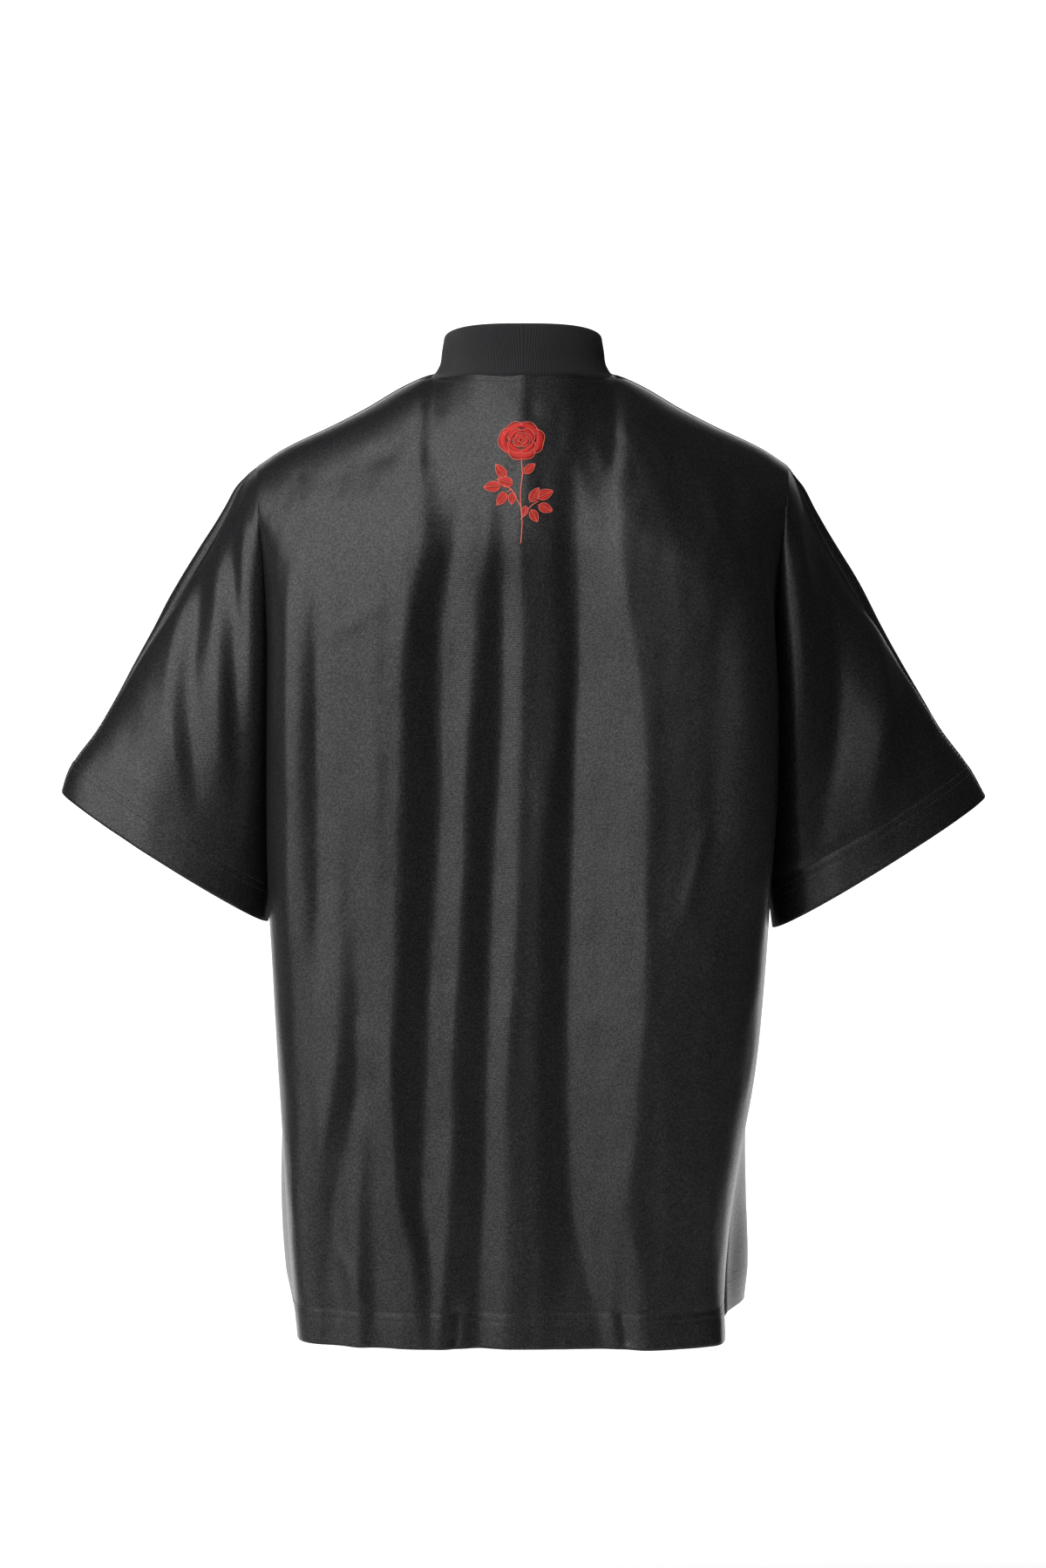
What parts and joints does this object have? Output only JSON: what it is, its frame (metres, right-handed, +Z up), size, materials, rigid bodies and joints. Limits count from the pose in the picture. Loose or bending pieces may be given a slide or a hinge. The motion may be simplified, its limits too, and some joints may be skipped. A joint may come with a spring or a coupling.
{
  "type": "wide-sleeved pullover top",
  "caption": "Short-bodied pullover in satin knit, its wide elbow-length sleeves cut in one with the body, with a ribbed stand collar and a small embroidered flower at the back.",
  "frame": {"origin": "middle of the neck, 3.5 mm below the inner ends of the shoulder seams, where the wearer's shoulders carry the garment", "axes": "+Z up, +Y towards the back panel, -Y towards the front panel, +X towards the wearer's left"},
  "size_m": [0.7451, 0.2855, 0.8234],
  "materials": {
    "black_satin_knit": "shiny warp-knit satin",
    "black_rib_knit": "dull fine rib"
  },
  "bodies": {
    "root": {"back_panel": "black_satin_knit", "front_panel": "black_satin_knit", "rib_collar": "black_rib_knit"}
  },
  "joints": []
}
